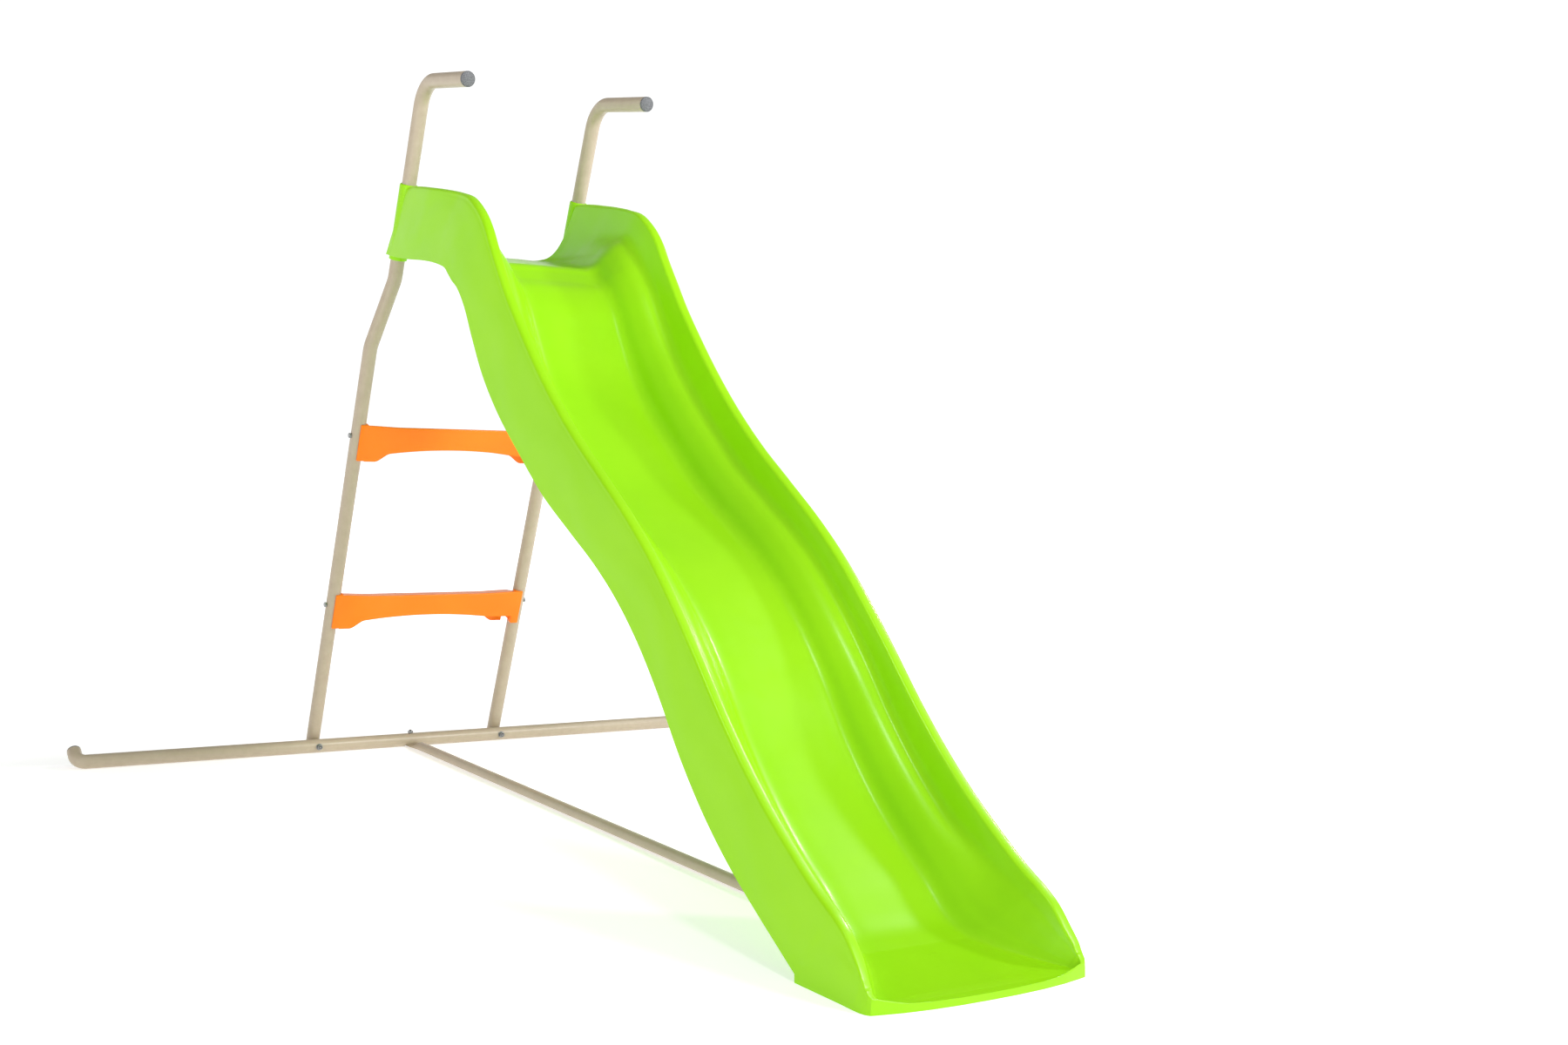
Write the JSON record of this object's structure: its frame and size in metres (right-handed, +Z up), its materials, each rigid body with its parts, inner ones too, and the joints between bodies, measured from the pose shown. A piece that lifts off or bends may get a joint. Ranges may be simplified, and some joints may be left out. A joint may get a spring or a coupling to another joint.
{
  "type": "toddler slide",
  "caption": "Free-standing toddler garden slide: wavy moulded chute with side walls on a leaning two-step tube ladder with forward-bent handles, ground bar and strut.",
  "frame": {"origin": "bottom centre of the whole slide's box, on the floor", "axes": "+Z up; +Y towards the ladder and -Y towards the exit; +X across the slide, to the right when facing +Y"},
  "size_m": [1.4554, 1.8662, 1.3456],
  "materials": {
    "chute_plastic": "lime green moulded polyethylene, soft gloss with a faint moulded grain",
    "step_plastic": "orange moulded plastic, satin",
    "painted_tube": "beige powder-coated steel tube, satin",
    "grey_plastic": "dark grey plastic plug, matt",
    "zinc_steel": "zinc-plated steel fasteners"
  },
  "bodies": {
    "root": {"chute": "chute_plastic", "ground_bar": "painted_tube", "ground_strut": "painted_tube", "left_leg_tube": "painted_tube", "right_leg_tube": "painted_tube", "lower_step": "step_plastic", "upper_step": "step_plastic", "left_handle_cap": "grey_plastic", "right_handle_cap": "grey_plastic", "left_bar_plug": "grey_plastic", "right_bar_plug": "grey_plastic", "left_lower_step_bolt": "zinc_steel", "right_lower_step_bolt": "zinc_steel", "left_upper_step_bolt": "zinc_steel", "right_upper_step_bolt": "zinc_steel", "left_lower_step_nut": "zinc_steel", "right_lower_step_nut": "zinc_steel", "left_upper_step_nut": "zinc_steel", "right_upper_step_nut": "zinc_steel", "left_foot_bolt": "zinc_steel", "right_foot_bolt": "zinc_steel", "left_foot_washer": "zinc_steel", "right_foot_washer": "zinc_steel", "left_foot_nut": "zinc_steel", "right_foot_nut": "zinc_steel", "left_chute_screw": "zinc_steel", "right_chute_screw": "zinc_steel", "strut_bar_bolt": "zinc_steel", "strut_bar_nut": "zinc_steel", "strut_chute_bolt": "zinc_steel"}
  },
  "joints": []
}
